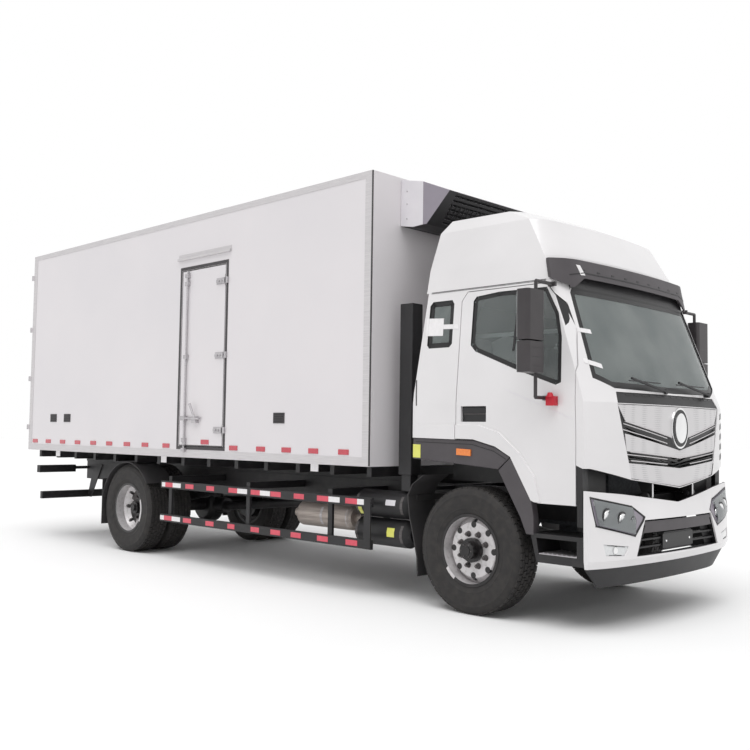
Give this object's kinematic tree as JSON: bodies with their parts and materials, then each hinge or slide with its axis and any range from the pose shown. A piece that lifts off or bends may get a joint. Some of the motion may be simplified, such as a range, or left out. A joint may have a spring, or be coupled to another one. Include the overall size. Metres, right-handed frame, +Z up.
{
  "type": "refrigerated truck",
  "caption": "Rigid refrigerated truck with a tilting cab, insulated load box with side and rear doors, cooling unit above the cab and steered front wheels.",
  "frame": {"origin": "On the ground under the middle of the whole truck's length and width.", "axes": "+X forward, +Y to the truck's left, +Z up."},
  "size_m": [9.0328, 3.02, 3.862],
  "materials": {
    "white_paint": "gloss",
    "box_panel": "satin",
    "dark_trim": "satin",
    "black_plastic": "matte",
    "mirror_plastic": "satin",
    "clear_glass": "gloss",
    "lamp_glass": "gloss",
    "red_lens": "gloss",
    "aluminium": "satin",
    "frame_paint": "satin",
    "tyre_rubber": "matte",
    "rim_paint": "satin",
    "seat_cloth": "matte",
    "grille_mesh": "satin",
    "engine_iron": "matte",
    "rubber_flap": "matte"
  },
  "bodies": {
    "chassis": {"ladder_frame": "frame_paint", "front_axle_beam": "frame_paint", "rear_axle": "frame_paint", "leaf_springs": "frame_paint", "engine": "engine_iron", "propshaft": "frame_paint", "bumper": "white_paint", "headlamps": "lamp_glass", "fog_lamps": "lamp_glass", "bumper_grille": "dark_trim", "front_valance": "dark_trim", "cab_steps": "white_paint", "front_mudguards": "rubber_flap", "load_box": "box_panel", "box_trims": "aluminium", "floor_bearers": "aluminium", "cooling_unit": "black_plastic", "marker_lamps": "red_lens", "side_guards": "aluminium", "silencer": "aluminium", "air_tanks": "black_plastic", "fuel_tank": "aluminium", "battery_box": "black_plastic", "rear_mudguards": "rubber_flap", "underrun_bar": "frame_paint", "tail_lamps": "red_lens", "intake_stack": "black_plastic"},
    "cab": {"cab_shell": "white_paint", "windscreen": "clear_glass", "quarter_windows": "clear_glass", "grille_panel": "grille_mesh", "cowl_panel": "black_plastic", "sun_visor": "dark_trim", "roof_fairing": "white_paint", "arch_trims": "dark_trim", "dashboard": "black_plastic", "steering_wheel": "black_plastic", "seats": "seat_cloth", "wipers": "black_plastic"},
    "cab_door_left": {"cab_door_left": "white_paint", "door_glass_left": "clear_glass", "mirror_left": "mirror_plastic"},
    "cab_door_right": {"cab_door_right": "white_paint", "door_glass_right": "clear_glass", "mirror_right": "mirror_plastic"},
    "side_door": {"side_door": "box_panel"},
    "rear_door_left": {"rear_door_left": "box_panel"},
    "rear_door_right": {"rear_door_right": "box_panel"},
    "knuckle_left": {"steering_knuckle_left": "frame_paint"},
    "knuckle_right": {"steering_knuckle_right": "frame_paint"},
    "front_wheel_left": {"front_wheel_left": "rim_paint", "front_tyre_left": "tyre_rubber"},
    "front_wheel_right": {"front_wheel_right": "rim_paint", "front_tyre_right": "tyre_rubber"},
    "rear_wheels_left": {"rear_wheels_left": "rim_paint", "rear_tyres_left": "tyre_rubber"},
    "rear_wheels_right": {"rear_wheels_right": "rim_paint", "rear_tyres_right": "tyre_rubber"}
  },
  "joints": [
    {"name": "cab_tilt", "type": "hinge", "parent": "chassis", "child": "cab", "pos_m": [4.38, 0, 1], "axis": [0, 1, 0], "range_deg": [0, 45]},
    {"name": "cab_door_left_hinge", "type": "hinge", "parent": "cab", "child": "cab_door_left", "pos_m": [4.233, 1.17, 1.8], "axis": [0, 0, 1], "range_deg": [-70, 0]},
    {"name": "cab_door_right_hinge", "type": "hinge", "parent": "cab", "child": "cab_door_right", "pos_m": [4.233, -1.17, 1.8], "axis": [0, 0, -1], "range_deg": [-70, 0]},
    {"name": "side_door_hinge", "type": "hinge", "parent": "chassis", "child": "side_door", "pos_m": [0.025, -1.316, 2.273], "axis": [0, 0, 1], "range_deg": [0, 175]},
    {"name": "rear_door_left_hinge", "type": "hinge", "parent": "chassis", "child": "rear_door_left", "pos_m": [-4.503, 1.316, 2.5], "axis": [0, 0, -1], "range_deg": [0, 265]},
    {"name": "rear_door_right_hinge", "type": "hinge", "parent": "chassis", "child": "rear_door_right", "pos_m": [-4.503, -1.316, 2.5], "axis": [0, 0, 1], "range_deg": [0, 265]},
    {"name": "steer_left", "type": "hinge", "parent": "chassis", "child": "knuckle_left", "pos_m": [3.22, 0.86, 0.52], "axis": [0, 0, 1], "range_deg": [-35, 35]},
    {"name": "steer_right", "type": "hinge", "parent": "chassis", "child": "knuckle_right", "pos_m": [3.22, -0.86, 0.52], "axis": [0, 0, 1], "range_deg": [-35, 35]},
    {"name": "front_wheel_left_spin", "type": "hinge", "parent": "knuckle_left", "child": "front_wheel_left", "pos_m": [3.22, 1.052, 0.52], "axis": [0, 1, 0], "continuous": true},
    {"name": "front_wheel_right_spin", "type": "hinge", "parent": "knuckle_right", "child": "front_wheel_right", "pos_m": [3.22, -1.052, 0.52], "axis": [0, 1, 0], "continuous": true},
    {"name": "rear_wheels_left_spin", "type": "hinge", "parent": "chassis", "child": "rear_wheels_left", "pos_m": [-2.02, 0.916, 0.52], "axis": [0, 1, 0], "continuous": true},
    {"name": "rear_wheels_right_spin", "type": "hinge", "parent": "chassis", "child": "rear_wheels_right", "pos_m": [-2.02, -0.916, 0.52], "axis": [0, 1, 0], "continuous": true}
  ],
  "couplings": [
    {"joint": "steer_right", "follows": "steer_left", "ratio": 1}
  ]
}
